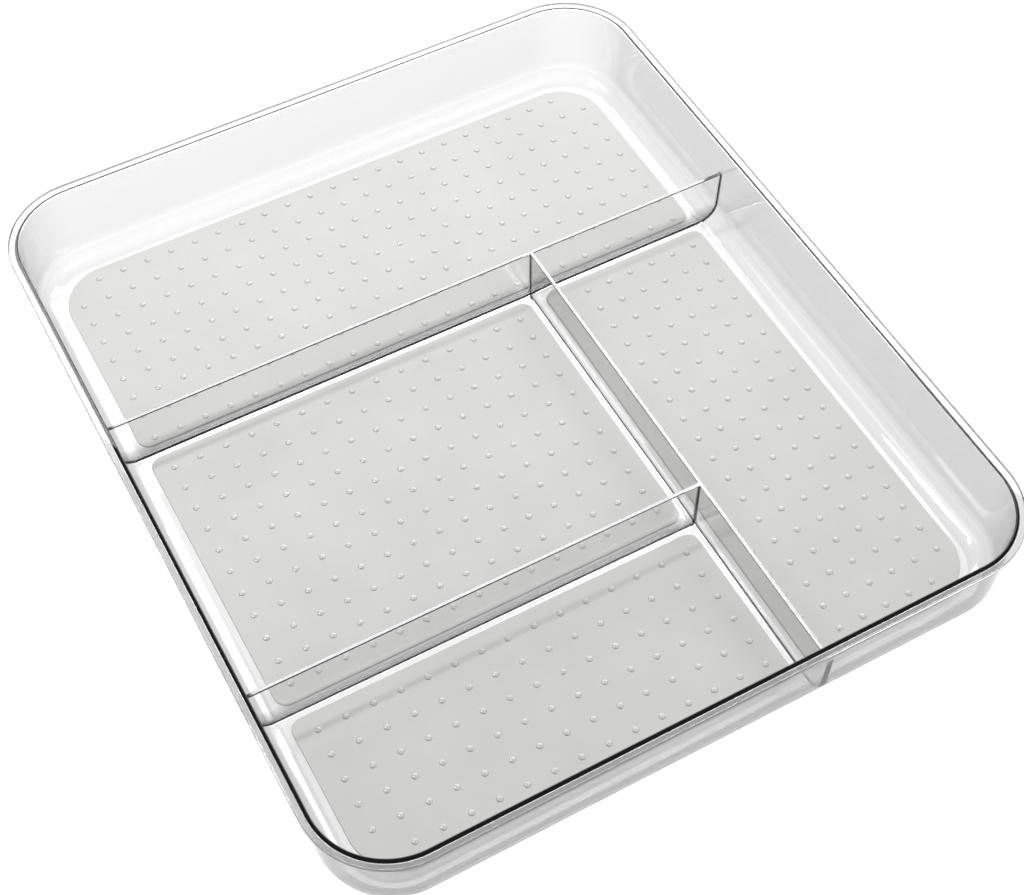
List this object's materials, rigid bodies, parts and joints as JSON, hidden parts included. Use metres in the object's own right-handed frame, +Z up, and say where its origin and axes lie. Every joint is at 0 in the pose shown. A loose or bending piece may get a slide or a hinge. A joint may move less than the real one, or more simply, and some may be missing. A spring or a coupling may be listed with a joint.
{
  "type": "drawer organizer insert",
  "caption": "Shallow clear drawer tray with rounded corners, moulded-in dividers of one height, soft dotted grip mats in its compartments and rubber feet.",
  "frame": {"origin": "on the surface that the tray stands on, under the middle of its plan outline", "axes": "+X to the tray's right, +Y to its back (the compartment that spans the full width), +Z up"},
  "size_m": [0.33, 0.387, 0.048],
  "materials": {
    "clear_tray": "water-clear injection-moulded polystyrene, polished inside and out",
    "soft_mat": "frosted pale grey soft-touch elastomer with a grid of small clear domes",
    "rubber_foot": "translucent soft rubber, satin"
  },
  "bodies": {
    "root": {"tray": "clear_tray", "mat_back": "soft_mat", "mat_middle_left": "soft_mat", "mat_front_left": "soft_mat", "mat_right": "soft_mat", "foot_front_left": "rubber_foot", "foot_front_right": "rubber_foot", "foot_back_left": "rubber_foot", "foot_back_right": "rubber_foot"}
  },
  "joints": []
}
